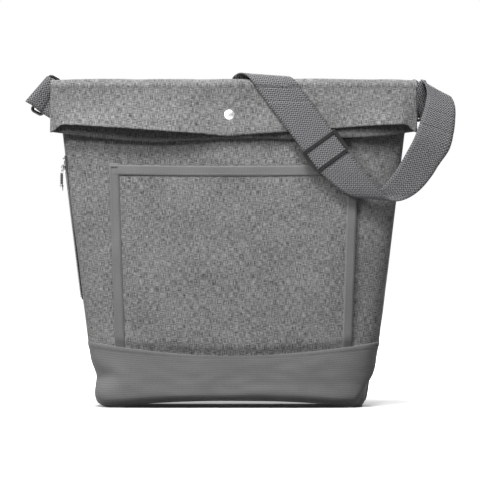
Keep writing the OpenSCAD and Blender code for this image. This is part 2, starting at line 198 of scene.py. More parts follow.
# Height, half width, half depth and squareness of the bag's plan, from the floor to the fold.
PROFILE = [
    (0, SEAM_HALF - 20, BASE_DEPTH - 8, 5),
    (4, SEAM_HALF - 14, BASE_DEPTH - 2, 4.94),
    (8, SEAM_HALF - 12, BASE_DEPTH, 4.88),
    (SEAM_Z, SEAM_HALF, BASE_DEPTH - 6.5, 4),
    (KNEE_Z, KNEE_HALF, 13, 4),
    (FOLD_Z, 202, 7, 6),
]


def mix(a, b, t):
    return a + (b - a) * t


def smooth(low, high, value):
    """0 at low, 1 at high, and an even curve between. low may be the greater."""
    t = min(1, max(0, (value - low) / (high - low)))
    return t * t * (3 - 2 * t)


def profile(z):
    """Half width, half depth and squareness at height z."""
    for lower, upper in zip(PROFILE, PROFILE[1:]):
        if z <= upper[0]:
            break
    t = min(1, max(0, (z - lower[0]) / (upper[0] - lower[0])))
    return [mix(a, b, t) for a, b in zip(lower[1:], upper[1:])]


def wall_y(x, z):
    """Distance from the middle plane to the front or back wall."""
    half_w, half_d, n = profile(z)
    return half_d * max(0, 1 - min(1, abs(x) / half_w) ** n) ** (1 / n)


def wall_x(y, z):
    half_w, half_d, n = profile(z)
    return half_w * max(0, 1 - min(1, abs(y) / half_d) ** n) ** (1 / n)


def bump(value, middle, width):
    """A bell of height 1."""
    return math.exp(-(((value - middle) / width) ** 2))


def ripple(x, z, size, seed):
    """Smooth uneven waves between about -1 and 1."""
    return noise.noise(Vector((x / size, z / size, seed)))


# ---- Meshes -----------------------------------------------------------------

def running(points):
    """Lengths along a line, from its first point to each of its points."""
    out = [0]
    for a, b in zip(points, points[1:]):
        out.append(out[-1] + (b - a).length)
    return out


def ring_faces(rings, sides, base=0, closed=False, capped=True):
    """Faces between rings of points with the same number of sides, and over both ends of an open run."""
    faces = []
    for k in range(rings if closed else rings - 1):
        here = base + k * sides
        after = base + (k + 1) % rings * sides
        for s in range(sides):
            t = (s + 1) % sides
            faces.append((here + s, here + t, after + t, after + s))
    if capped and not closed:
        first = range(base, base + sides)
        faces.append(tuple(first)[::-1])
        faces.append(tuple(p + (rings - 1) * sides for p in first))
    return faces


def new_object(name, points, faces, uvs=None):
    """A smooth mesh from points in millimetres. uvs are lengths along the cloth in millimetres."""
    mesh = bpy.data.meshes.new(name)
    mesh.from_pydata([Vector(p) * MM for p in points], [], faces)
    if uvs:
        layer = mesh.uv_layers.new(name="cloth")
        for loop in mesh.loops:
            u, v = uvs[loop.vertex_index]
            layer.data[loop.index].uv = (u * MM, v * MM)
    mesh.shade_smooth()
    mesh.update()
    thing = bpy.data.objects.new(name, mesh)
    bpy.context.collection.objects.link(thing)
    return thing


def grid_normals(grid, closed=False):
    rows = len(grid)
    columns = len(grid[0])
    normals = []
    for i in range(rows):
        line = []
        for j in range(columns):
            along = grid[min(rows - 1, i + 1)][j] - grid[max(0, i - 1)][j]
            if closed:
                across = grid[i][(j + 1) % columns] - grid[i][j - 1]
            else:
                across = grid[i][min(columns - 1, j + 1)] - grid[i][max(0, j - 1)]
            line.append(across.cross(along).normalized())
        normals.append(line)
    return normals


def cloth(name, grid, t, uv_of=None, closed=False, open_edges=()):
    """Cloth of thickness t round the middle surface of a grid of points, with rounded edges.

    Columns run across and rows along. uv_of gives lengths for row i and column j.
    open_edges names the edges that go on in another piece: start, end, left or right."""
    rows = len(grid)
    columns = len(grid[0])
    normals = grid_normals(grid, closed)
    if uv_of is None:
        along = running([row[columns // 2] for row in grid])
        across = running(grid[rows // 2])
        middle = across[-1] / 2
        uv_of = lambda i, j: (across[j] - middle, along[i])
    points = []
    uvs = []
    for side in (0.5, -0.5):
        for i in range(rows):
            for j in range(columns):
                points.append(grid[i][j] + normals[i][j] * t * side)
                uvs.append(uv_of(i, j))
    faces = []
    second = rows * columns
    last = columns if closed else columns - 1
    at = lambda i, j: i * columns + j % columns
    for i in range(rows - 1):
        for j in range(last):
            a, b, c, d = at(i, j), at(i, j + 1), at(i + 1, j + 1), at(i + 1, j)
            faces.append((a, b, c, d))
            faces.append((second + d, second + c, second + b, second + a))
    if closed:
        loops = [[(0, j) for j in range(columns)], [(rows - 1, j) for j in range(columns)][::-1]]
    else:
        loops = [[(0, j) for j in range(columns - 1)]
                 + [(i, columns - 1) for i in range(rows - 1)]
                 + [(rows - 1, j) for j in range(columns - 1, 0, -1)]
                 + [(i, 0) for i in range(rows - 1, 0, -1)]]

    def edge_name(one, two):
        if one[0] == two[0]:
            return "start" if one[0] == 0 else "end"
        return "left" if one[1] == 0 else "right"

    for loop in loops:
        start = len(points)
        for i, j in loop:
            out = Vector((0, 0, 0))
            if i == 0:
                out += grid[0][j] - grid[1][j]
            if i == rows - 1:
                out += grid[-1][j] - grid[-2][j]
            if not closed and j == 0:
                out += grid[i][0] - grid[i][1]
            if not closed and j == columns - 1:
                out += grid[i][-1] - grid[i][-2]
            points.append(grid[i][j] + out.normalized() * t * 0.5)
            uvs.append(uv_of(i, j))
        count = len(loop)
        for k in range(count):
            if {edge_name(loop[k], loop[(k + 1) % count])} & set(open_edges):
                continue
            a, b = at(*loop[k]), at(*loop[(k + 1) % count])
            c, d = start + (k + 1) % count, start + k
            faces.append((b, a, d, c))
            faces.append((c, d, second + a, second + b))
    return new_object(name, points, faces, uvs)


def spline(values, steps, before=None, after=None):
    """Catmull-Rom curve through vectors. before and after are the points past its ends."""
    first = before if before is not None else values[0] * 2 - values[1]
    final = after if after is not None else values[-1] * 2 - values[-2]
    ends = [first] + values + [final]
    out = []
    for k in range(len(values) - 1):
        a, b, c, d = ends[k:k + 4]
        for s in range(steps):
            t = s / steps
            out.append((b * 2 + (c - a) * t + (a * 2 - b * 5 + c * 4 - d) * t * t
                        + (b * 3 - a - c * 3 + d) * t ** 3) / 2)
    return out + [values[-1]]


def even(points, count):
    """count points at equal lengths along a line of points."""
    lengths = running(points)
    out = []
    k = 0
    for s in range(count):
        target = lengths[-1] * s / (count - 1)
        while k < len(points) - 2 and lengths[k + 1] < target:
            k += 1
        share = (target - lengths[k]) / max(1e-9, lengths[k + 1] - lengths[k])
        out.append(points[k].lerp(points[k + 1], min(1, max(0, share))))
    return out


def tube(name, path, radius, sides=10, closed=False):
    """A round bar along a path of points."""
    count = len(path)
    points = []
    for k, p in enumerate(path):
        ahead = path[(k + 1) % count] if closed or k < count - 1 else p
        behind = path[k - 1] if closed or k > 0 else p
        direction = (ahead - behind).normalized()
        side = direction.cross(Vector((0.13, 1, 0.07))).normalized()
        other = direction.cross(side)
        for s in range(sides):
            angle = s * math.tau / sides
            points.append(p + (side * math.cos(angle) + other * math.sin(angle)) * radius)
    return new_object(name, points, ring_faces(count, sides, closed=closed))


def lathe(name, outline, placing, sides=48):
    """A turned piece: outline gives (radius, height) from the axis at one end to the axis at the other."""
    points = []
    for r, h in outline:
        for s in range(sides):
            angle = s * math.tau / sides
            points.append(placing @ Vector((r * math.cos(angle), r * math.sin(angle), h)))
    return weld(new_object(name, points, ring_faces(len(outline), sides, capped=False)))


def weld(thing, distance=0.02):
    """Joins points that coincide, and drops the faces that this closes up."""
    tool = thing.modifiers.new("weld", "WELD")
    tool.merge_threshold = distance * MM
    return settle(thing)


def settle(thing):
    """Applies every modifier of a piece to its mesh."""
    graph = bpy.context.evaluated_depsgraph_get()
    mesh = bpy.data.meshes.new_from_object(thing.evaluated_get(graph))
    thing.modifiers.clear()
    thing.data = mesh
    mesh.shade_smooth()
    return thing


def bevelled(thing, width, segments=2, angle=35):
    """Rounds the sharp edges of a hard piece."""
    tool = thing.modifiers.new("bevel", "BEVEL")
    tool.width = width * MM
    tool.segments = segments
    tool.limit_method = "ANGLE"
    tool.angle_limit = math.radians(angle)
    return settle(thing)


# ---- Materials --------------------------------------------------------------

class Nodes:
    """A short way to write a node tree."""

    def __init__(self, name):
        self.material = bpy.data.materials.new(name)
        self.material.use_nodes = True
        self.tree = self.material.node_tree
        self.tree.nodes.clear()
        self.shader = self.add("BsdfPrincipled")
        output = self.add("OutputMaterial")
        self.join(self.shader.outputs[0], output.inputs[0])

    def add(self, kind, settings=(), **values):
        made = self.tree.nodes.new("ShaderNode" + kind)
        for key, value in dict(settings).items():
            setattr(made, key, value)
        for key, value in values.items():
            made.inputs[key.replace("_", " ")].default_value = value
        return made

    def join(self, source, target):
        self.tree.links.new(source, target)

    def scaled(self, across, along, source="uv"):
        """Coordinates that repeat once in the given lengths, in millimetres."""
        if source == "uv":
            place = self.add("UVMap", {"uv_map": "cloth"}).outputs[0]
            scale = (1 / (across * MM), 1 / (along * MM), 1)
        else:
            place = self.add("TexCoord").outputs["Object"]
            scale = (1 / (across * MM), 1 / (along * MM), 1 / (along * MM))
        mapping = self.add("Mapping", Scale=scale)
        self.join(place, mapping.inputs[0])
        return mapping.outputs[0]

    def noise(self, place, detail=2.0, roughness=0.5):
        made = self.add("TexNoise", Scale=1.0, Detail=detail, Roughness=roughness)
        self.join(place, made.inputs["Vector"])
        return made.outputs["Fac"]

    def wave(self, place, direction, distortion=0.0):
        """Ribs of one cycle to each unit of the coordinates."""
        made = self.add("TexWave", {"wave_type": "BANDS", "bands_direction": direction},
                        Scale=math.tau / 20, Distortion=distortion)
        self.join(place, made.inputs["Vector"])
        return made.outputs["Fac"]

    def math(self, operation, a, b):
        made = self.add("Math", {"operation": operation})
        for k, value in enumerate((a, b)):
            if isinstance(value, (int, float)):
                made.inputs[k].default_value = value
            else:
                self.join(value, made.inputs[k])
        return made.outputs[0]

    def weighed(self, a, share_a, b, share_b):
        """The sum of two values, each times its share."""
        return self.math("ADD", self.math("MULTIPLY", a, share_a), self.math("MULTIPLY", b, share_b))

    def ramp(self, value, stops):
        """Colours for values: stops are (place, linear grey or colour)."""
        made = self.add("ValToRGB")
        band = made.color_ramp.elements
        while len(band) < len(stops):
            band.new(0.5)
        for element, (place, colour) in zip(band, stops):
            element.position = place
            if isinstance(colour, (int, float)):
                colour = (colour, colour, colour * 0.99)
            element.color = (*colour, 1)
        self.join(value, made.inputs[0])
        return made.outputs[0]

    def finish(self, colour, height=None, depth=0.3, roughness=0.8, strength=0.6):
        self.join(colour, self.shader.inputs["Base Color"])
        if isinstance(roughness, (int, float)):
            self.shader.inputs["Roughness"].default_value = roughness
        else:
            self.join(roughness, self.shader.inputs["Roughness"])
        if height is not None:
            made = self.add("Bump", Strength=strength, Distance=depth * MM)
            self.join(height, made.inputs["Height"])
            self.join(made.outputs[0], self.shader.inputs["Normal"])
        return self.material


def melange_cloth(name, dark=0.022, light=0.4):
    """Heather polyester: short light and dark yarn lengths both ways, over a plain weave."""
    m = Nodes(name)
    weft = m.noise(m.scaled(6.2, 0.5), detail=1.5, roughness=0.6)
    warp = m.noise(m.scaled(0.52, 7.0), detail=1.5, roughness=0.6)
    slub = m.noise(m.scaled(0.9, 0.8), detail=1.0, roughness=0.6)
    cloud = m.noise(m.scaled(55, 45), detail=3)
    yarns = m.weighed(m.math("ADD", weft, warp), 0.43, slub, 0.14)
    tone = m.math("ADD", yarns, m.math("MULTIPLY", m.math("SUBTRACT", cloud, 0.5), 0.08))
    colour = m.ramp(tone, [(0.4, dark), (0.47, mix(dark, light, 0.28)), (0.53, mix(dark, light, 0.62)),
                           (0.6, light)])
    weave = m.math("MULTIPLY", m.wave(m.scaled(0.6, 0.6), "X"), m.wave(m.scaled(0.6, 0.6), "Y"))
    height = m.math("ADD", m.math("MULTIPLY", weave, 0.5), yarns)
    m.shader.inputs["Sheen Weight"].default_value = 0.12
    m.shader.inputs["Sheen Roughness"].default_value = 0.5
    return m.finish(colour, height, depth=0.25, roughness=0.82, strength=0.7)


def plain_cloth(name, grey, across=0.8, along=0.8, spread=0.12):
    """Plain oxford cloth with a fine rib and faint unevenness."""
    m = Nodes(name)
    ribs = m.wave(m.scaled(across, along), "Y", distortion=0.6)
    cross = m.wave(m.scaled(across, along), "X", distortion=0.6)
    grain = m.noise(m.scaled(1.6, 1.0), detail=3, roughness=0.6)
    cloud = m.noise(m.scaled(60, 30), detail=3)
    uneven = m.weighed(grain, 0.5, cloud, 0.38)
    tone = m.math("ADD", uneven, m.math("MULTIPLY", ribs, 0.12))
    colour = m.ramp(tone, [(0.3, grey * (1 - spread * 2)), (0.7, grey * (1 + spread * 2))])
    height = m.weighed(ribs, 0.6, cross, 0.4)
    m.shader.inputs["Sheen Weight"].default_value = 0.1
    return m.finish(colour, height, depth=0.2, roughness=0.78, strength=0.5)


def webbing_cloth(name, grey=0.112):
    """Heavy woven strap: staggered pebbles of yarn with dark gaps, over a faint rib."""
    m = Nodes(name)
    ribs = m.wave(m.scaled(3.0, 3.0), "Y", distortion=0.2)
    one = m.wave(m.scaled(1.8, 1.5), "DIAGONAL")
    other = m.wave(m.scaled(-1.8, 1.5), "DIAGONAL")
    grain = m.noise(m.scaled(1.5, 1.1), detail=2)
    body = m.weighed(ribs, 0.22, m.math("ADD", one, other), 0.34)
    tone = m.math("ADD", body, m.math("MULTIPLY", grain, 0.24))
    tint = lambda k: (grey * k * 0.99, grey * k * 0.985, grey * k * 1.03)
    colour = m.ramp(tone, [(0.3, tint(0.08)), (0.5, tint(0.7)), (0.72, tint(2.0))])
    return m.finish(colour, tone, depth=0.7, roughness=0.6, strength=1.0)


def zip_cloth(name):
    """Dark zip tape with fine ribs."""
    m = Nodes(name)
    ribs = m.wave(m.scaled(0.7, 0.7), "Y", distortion=0.3)
    grain = m.noise(m.scaled(1.2, 0.8))
    tone = m.weighed(ribs, 0.5, grain, 0.5)
    return m.finish(m.ramp(tone, [(0.2, 0.03), (0.8, 0.08)]), ribs, depth=0.2, roughness=0.75)


def hard_plastic(name, grey, gloss=0.35, grain=1.2):
    """Moulded plastic with a fine leathery grain and soft wear."""
    m = Nodes(name)
    place = m.scaled(grain, grain, "object")
    pits = m.noise(place, detail=4)
    rubbed = m.noise(m.scaled(14, 9, "object"), detail=3)
    colour = m.ramp(rubbed, [(0.35, grey * 0.8), (0.7, grey * 1.35)])
    rough = m.math("ADD", m.math("MULTIPLY", rubbed, 0.2), gloss - 0.08)
    return m.finish(colour, pits, depth=0.06, roughness=rough, strength=0.35)


def metal(name, tone, rough=0.16):
    """Plated metal with faint handling marks."""
    m = Nodes(name)
    m.shader.inputs["Metallic"].default_value = 1
    marks = m.noise(m.scaled(3.5, 0.6, "object"), detail=4)
    colour = m.ramp(marks, [(0.3, tone * 0.88), (0.7, tone)])
    shine = m.math("ADD", m.math("MULTIPLY", marks, 0.14), rough - 0.05)
    return m.finish(colour, marks, depth=0.02, roughness=shine, strength=0.25)


def thread_cloth(name, grey):
    """Twisted thread or cord."""
    m = Nodes(name)
    twist = m.noise(m.scaled(0.5, 0.5, "object"), detail=2)
    return m.finish(m.ramp(twist, [(0.3, grey * 0.6), (0.7, grey * 1.3)]), twist, depth=0.1, roughness=0.7)


MELANGE = melange_cloth("melange cloth")
# A darker copy of the melange cloth: painted shade for the inner rim's face in the mouth.
SHADED_MELANGE = melange_cloth("melange cloth painted shade", 0.015, 0.2)
BASE = plain_cloth("base cloth", 0.17, 1.3, 1.9)
BINDING = plain_cloth("binding cloth", 0.18, 0.9, 0.9)
TAPE = plain_cloth("pocket tape cloth", 0.178, 0.9, 0.9)
WEBBING = webbing_cloth("ribbed webbing")
ZIP_TAPE = zip_cloth("zip tape weave")
THREAD = thread_cloth("seam thread", 0.2)
LIGHT_THREAD = thread_cloth("light thread", 0.3)
COIL = hard_plastic("coil plastic", 0.02, 0.4)
RING = hard_plastic("ring plastic", 0.012, 0.3)
SLIDER = hard_plastic("slider plastic", 0.03, 0.3)
NICKEL = metal("bright nickel", 0.8, 0.48)
SATIN = metal("satin zip metal", 0.6, 0.28)
CORD = thread_cloth("pull cord weave", 0.1)


def dress(thing, material, slot):
    thing.data.materials.clear()
    thing.data.materials.append(material)
    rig.slot(thing, slot)
    return thing


def piece(thing, material, slot, body, nodes=()):
    """Gives a piece its finish, its body and the CAD nodes that it stands for."""
    dress(thing, material, slot)
    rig.ride(thing, body)
    if nodes:
        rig.replaces(thing, *nodes)
    return thing


def bridge(thing, material, slot, bodies, places, nodes=()):
    """Gives a piece its finish, and bends it from one body to the next between two places."""
    dress(thing, material, slot)
    first, second = [Vector(place) * MM for place in places]
    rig.blend(thing, *bodies, first, second)
    if nodes:
        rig.replaces(thing, *nodes)
    return thing


# ---- Body: base, front and back ---------------------------------------------

def wall_ring(z, start, end, count, inset=0.0):
    """count evenly spaced points of the bag's plan at height z, from one angle to another, in degrees."""
    half_w, half_d, n = profile(z)
    line = []
    for k in range(361):
        angle = math.radians(start + (end - start) * k / 360)
        c = math.cos(angle)
        s = math.sin(angle)
        x = (half_w - inset) * math.copysign(abs(c) ** (2 / n), c)
        y = (half_d - inset) * math.copysign(abs(s) ** (2 / n), s)
        line.append(Vector((x, y, z)))
    return even(line, count)


def slack(x, z, side):
    """How far the cloth stands out from its even shape, in millimetres.

    side is -1 at the front, 1 at the back."""
    held = smooth(SEAM_Z, SEAM_Z + 45, z) * (1 - smooth(295, 340, z))
    broad = 2.6 * ripple(x, z * 0.5, 95, 2.3 * side)
    small = 1.3 * ripple(x, z * 0.8, 40, 9.1 * side)
    return held * (broad + small)


def base_shift(x, z):
    """The seam droops to its middle, and the foot of the base lifts there."""
    share = min(1, z / SEAM_Z)
    lift = 8.0 * max(0, 1 - abs(x / 138) ** 2.4)
    droop = -8.5 + 13.5 * min(1, abs(x / SEAM_HALF)) ** 2
    return mix(lift, droop, share)


def seam_z(x):
    return SEAM_Z + base_shift(x, SEAM_Z)


def corner_fold(p):
    """How the two front corners of the foot are pushed in and out, in millimetres out from the bag."""
    if p.y > 20:
        return 0
    if p.x < 0:
        side = smooth(118, 146, -p.x)
        return side * (3.2 * bump(p.z, 10, 11) - 3.0 * bump(p.z, 33, 9))
    past = (p.x - 128) - 0.62 * p.z
    return -6.0 * smooth(0, 9, past) * bump(p.z, 18, 20)


BASE_COLUMNS = 260
BASE_T = 1.3


def base_grid():
    rows = []
    foot = wall_ring(0, 0, 360, BASE_COLUMNS + 1)[:-1]
    for share in (0.01, 0.2, 0.4, 0.6, 0.75, 0.86, 0.94):
        rows.append([Vector((p.x * share, p.y * share, 0)) for p in foot])
    for z in [0, 1, 2.5, 4.5, 7, 10] + [14 + 4 * k for k in range(13)] + [SEAM_Z - 1.5, SEAM_Z]:
        rows.append(wall_ring(z, 0, 360, BASE_COLUMNS + 1)[:-1])
    for row in rows:
        for p in row:
            wave = 1.3 * ripple(p.x + p.y, p.z, 46, 5.0) + 0.6 * ripple(p.x, p.z * 2, 19, 1.0)
            out = Vector((p.x * 0.3, p.y, 0)).normalized()
            free = smooth(0, 14, p.z) * (1 - smooth(SEAM_Z - 16, SEAM_Z, p.z))
            p += out * (wave * free + corner_fold(p) * smooth(0, 3, p.z) + 0.5)
            p.z += base_shift(p.x, p.z)
    return rows


def make_base():
    grid = base_grid()
    around = running(grid[-1])
    up = running([row[BASE_COLUMNS * 3 // 4] for row in grid])
    thing = cloth("base_cloth", grid, BASE_T, lambda i, j: (around[j], up[i]), closed=True)
    piece(thing, BASE, "base_cloth", "root", ["base_panel"])


def wall_columns(side, rows, columns, inset):
    """A grid of the front (side -1) or back wall (side 1) with its slack."""
    start = 180 if side < 0 else 0
    grid = []
    for z in rows:
        line = wall_ring(z, start, start + 180, columns, inset)
        for p in line:
            tucked = 1.3 * (1 - smooth(-11, -1, z - seam_z(p.x)))
            out = Vector((p.x * 0.15, p.y * 4, 0)).normalized()
            p += out * (slack(p.x, z, side) * smooth(0, 10, abs(p.y)) - tucked)
        grid.append(line)
    return grid


def wall_uv(grid):
    """Lengths across from the middle, and heights."""
    table = []
    for line in grid:
        run = running(line)
        table.append([(r - run[-1] / 2, line[0].z) for r in run])
    return lambda i, j: table[i][j]


WALL_FOOT = 46
WALL_STEP = 4
WALL_COLUMNS = 150


def make_front():
    rows = [WALL_FOOT + WALL_STEP * k for k in range(77)]
    grid = wall_columns(-1, rows, WALL_COLUMNS, 0.6)
    thing = cloth("front_cloth", grid, 1.0, wall_uv(grid))
    piece(thing, MELANGE, "melange_cloth", "root", ["front_panel"])


FOLD_STEPS = 12


def crown_at(x):
    dent = 0.9 * ripple(x, 0, 60, 4.0) + 0.5 * ripple(x, 0, 23, 8.0)
    return CROWN * (1 - 0.12 * min(1, abs(x) / RIM_HALF) ** 8) + dent - 0.6


def arch_point(x, angle):
    """Middle surface of the cloth over the fold: 0 degrees is the back crease, 180 the front."""
    a = math.radians(angle)
    half = (BACK_PIVOT.y - FRONT_PIVOT.y) / 2
    return Vector((x, FOLD_MID_Y + half * math.cos(a), FOLD_Z + (crown_at(x) - 0.6) * math.sin(a)))


def make_back():
    """The back wall and the back half of the fold are one cloth."""
    rows = [WALL_FOOT + WALL_STEP * k for k in range(76)]
    grid = wall_columns(1, rows, WALL_COLUMNS, 0.6)
    for z in (FOLD_Z - 3, FOLD_Z):
        grid.append(wall_ring(z, 0, 180, WALL_COLUMNS, 0.3))
    top = grid[-1]
    for k in range(1, FOLD_STEPS + 1):
        angle = 90 * k / FOLD_STEPS
        line = []
        for p in top:
            made = arch_point(p.x, angle)
            made.y -= (BACK_PIVOT.y - p.y) * (1 - k / FOLD_STEPS)
            line.append(made)
        grid.append(line)
    up = [WALL_FOOT + run for run in running([row[WALL_COLUMNS // 2] for row in grid])]
    thing = cloth("back_cloth", grid, 1.0, lambda i, j: (-grid[i][j].x, up[i]), open_edges=("end",))
    places = ((0, BACK_PIVOT.y, FOLD_Z - 3), (0, BACK_PIVOT.y - 5, FOLD_Z + 6))
    bridge(thing, MELANGE, "melange_cloth", ("root", "fold_band"), places, ["back_panel", "fold_band"])
    return up[-1]


make_base()
make_front()
fold_top_v = make_back()


# ---- Stitching --------------------------------------------------------------

def stitch_row(name, path, out, length=2.3, pitch=3.3, radius=0.28):
    """Lock stitches along a line of points. out gives the direction away from the cloth at a point."""
    step = 0.55
    dense = even(path, int(running(path)[-1] / step) + 2)
    per = max(2, round(length / step))
    every = max(per + 1, round(pitch / step))
    points = []
    faces = []
    sides = 6
    for start in range(0, len(dense) - per, every):
        base = len(points)
        for k in range(per + 1):
            p = dense[start + k]
            ahead = dense[min(len(dense) - 1, start + k + 1)]
            direction = (ahead - dense[start + k - 1 if start + k else 0]).normalized()
            up = out(p)
            side = direction.cross(up).normalized()
            share = math.sin(math.pi * (k + 0.35) / (per + 0.7))
            for s in range(sides):
                angle = s * math.tau / sides
                ring = side * math.cos(angle) + up * math.sin(angle)
                points.append(p + up * (share - 0.75) * radius * 1.6 + ring * radius * (0.55 + 0.45 * share))
        faces += ring_faces(per + 1, sides, base)
    return new_object(name, points, faces)


def front_of(p):
    return Vector((0, -1, 0.12)).normalized()


# ---- Pocket -----------------------------------------------------------------

TAPE_W = 10
POCKET_FOOT_HALF = 129


def pocket_half(z):
    return mix(POCKET_FOOT_HALF, POCKET_TOP_HALF, (z - SEAM_Z) / (POCKET_TOP - SEAM_Z))


def on_front(x, z, lift):
    """A point that stands lift millimetres out from the front cloth."""
    return Vector((x, -wall_y(x, z) - lift - slack(x, z, -1), z))


def front_strip(name, left, right, low, high, lift, t, rows, columns, crown=0.0, bend=None):
    """A strip of cloth on the front between two functions of height. With no low it starts under the base."""
    grid = []
    for i in range(rows + 1):
        line = []
        for j in range(columns + 1):
            share = j / columns
            foot = low
            if low is None:
                foot = seam_z(mix(left(SEAM_Z), right(SEAM_Z), share)) - 5
            z = mix(foot, high, i / rows)
            x = mix(left(z), right(z), share)
            raised = crown * (1 - (2 * share - 1) ** 4)
            fall = bend(x, z) if bend else 0
            free = smooth(-3, 12, z - seam_z(x))
            line.append(on_front(x, z + fall, mix(-0.5, lift + raised, free)))
        grid.append(line)
    return cloth(name, grid, t, lambda i, j: (grid[i][j].x, grid[i][j].z))


def pocket_sag(x, z):
    """The pocket's mouth dips a little towards its middle."""
    share = smooth(SEAM_Z + 90, POCKET_TOP, z)
    return -1.6 * share * (1 - (x / POCKET_TOP_HALF) ** 2)


def make_pocket():
    inner = lambda z: pocket_half(z) - TAPE_W + 2.5
    panel = front_strip("pocket_cloth", lambda z: -inner(z), inner, None, POCKET_TOP - 6,
                        2.0, 1.0, 70, 100, crown=0.7, bend=pocket_sag)
    piece(panel, MELANGE, "melange_cloth", "root", ["pocket_panel"])
    edge = lambda z: pocket_half(z) - 3
    binding = front_strip("pocket_binding_cloth", lambda z: -edge(z), edge, POCKET_TOP - TAPE_W, POCKET_TOP,
                          2.9, 1.7, 8, 100, crown=0.3, bend=pocket_sag)
    piece(binding, BINDING, "binding_cloth", "root", ["pocket_binding"])
    for side, word in ((-1, "left"), (1, "right")):
        outer = lambda z: side * pocket_half(z)
        near = lambda z: side * (pocket_half(z) - TAPE_W)
        first, second = (outer, near) if side < 0 else (near, outer)
        tape = front_strip("pocket_tape_cloth_" + word, first, second, None, POCKET_TOP + 2,
                           2.7, 1.1, 60, 8, crown=0.5)
        piece(tape, TAPE, "binding_cloth", "root", ["pocket_tape_" + word])
        for inset, row in ((1.8, "outer"), (TAPE_W - 1.6, "inner")):
            path = [on_front(side * (pocket_half(z) - inset), z, 3.85) for z in range(84, 266, 3)]
            stitches = stitch_row("pocket_tape_stitches_%s_%s" % (word, row), path, front_of)
            piece(stitches, THREAD, "binding_cloth", "root")
        bar = []
        for k in range(9):
            bar.append(on_front(side * (pocket_half(264) - 1.5 - 7 * k / 8), 264.5 - (k % 2) * 1.6, 4.2))
        tack = tube("pocket_bartack_" + word, bar, 0.45, 6)
        piece(tack, THREAD, "binding_cloth", "root")
    path = []
    for k in range(90):
        x = mix(-pocket_half(258) + TAPE_W + 1, pocket_half(258) - TAPE_W - 1, k / 89)
        z = POCKET_TOP - TAPE_W + 2.2
        path.append(on_front(x, z + pocket_sag(x, z), 4.1))
    stitches = stitch_row("pocket_binding_stitches", path, front_of)
    piece(stitches, LIGHT_THREAD, "binding_cloth", "root")


def make_base_stitches():
    """One row of stitches just under the base's top edge, all the way round."""
    ring = wall_ring(SEAM_Z - 3.4, 0, 360, 400, -BASE_T / 2 - 0.6)
    for p in ring:
        p.z += base_shift(p.x, p.z)
    stitches = stitch_row("base_stitches", ring, lambda p: Vector((p.x * 0.3, p.y, 0)).normalized())
    piece(stitches, THREAD, "base_cloth", "root")


make_pocket()
make_base_stitches()


# ---- Fold, flap and mouth ---------------------------------------------------

TURN_R = 1.8
RIM_COLUMNS = 120
MAIN_X = [mix(-(RIM_HALF - TURN_R), RIM_HALF - TURN_R, k / RIM_COLUMNS) for k in range(RIM_COLUMNS + 1)]
RIM_SPLIT = 66
RIM_ROWS = 26
INNER_ROWS = 16


def outer_y(z):
    return FRONT_PIVOT.y - RIM_SLOPE * (RIM_TOP - z)


def inner_y(z):
    return FRONT_PIVOT.y + 2 * TURN_R - RIM_SLOPE * (RIM_TOP - z)


def outer_edge(x):
    """Height of the outer rim's free edge: it dips at the snap and at the two corners."""
    share = abs(x) / RIM_HALF
    slope = 13.5 * (1 - abs(x - SNAP_X) / RIM_HALF) ** 1.25 if abs(x - SNAP_X) < RIM_HALF else 0
    corner = 9 * smooth(0.93, 1.0, share)
    return 311 - slope - corner + 0.8 * ripple(x, 0, 40, 3.3)


def inner_edge(x):
    low = 4.5 * bump(x, -92, 60) + 1.5 * bump(x, 95, 50)
    return 295.5 - low + 7.0 * (x / RIM_HALF) ** 4 + 0.7 * ripple(x, 0, 45, 6.1)


def mouth_bow(x):
    """How far the outer rim stands open between the snap and the corners."""
    left = 5.5 + 6.0 * bump(x, -112, 62)
    right = 4.5 * bump(x, 160, 28)
    held = smooth(14, 40, abs(x - SNAP_X)) * (1 - smooth(182, 199, abs(x)))
    under_strap = 1 - 0.97 * bump(x, 92, 50)
    return (3.0 * (1 - held) * (1 - smooth(176, 198, abs(x))) + (left + right) * held) * under_strap


def inner_bow(x):
    """How far the inner rim's free edge stands out from the front wall."""
    return (3.6 + 3.5 * bump(x, 155, 28) - 1.8 * bump(x, 92, 46)) * (1 - smooth(176, 198, abs(x)))


def rim_point(x, share):
    """Middle surface of the outer rim, from its crease (share 0) to its free edge (share 1)."""
    z = mix(RIM_TOP, outer_edge(x), share)
    uneven = 0.7 * ripple(x, z, 33, 1.7) + 0.4 * ripple(x, z, 15, 2.9)
    quiet = smooth(0, 0.25, share) * (1 - bump(x, SNAP_X, 14))
    return Vector((x, outer_y(z) - mouth_bow(x) * share ** 2 - uneven * quiet, z))


def gape_places(side):
    """Two places on the outer rim: its side seam, which stays shut, and where it opens freely."""
    return (side * 200, -15, 330), (side * 80, -15, 330)


def rim_row(share):
    """One row of the outer rim, which turns back round both side seams."""
    row = [rim_point(x, share) for x in MAIN_X]
    for side in (-1, 1):
        end = row[0] if side < 0 else row[-1]
        turned = []
        for k in range(1, 6):
            angle = math.radians(36 * k)
            turned.append(end + Vector((side * TURN_R * math.sin(angle), TURN_R * (1 - math.cos(angle)), 0)))
        row = turned[::-1] + row if side < 0 else row + turned
    return row


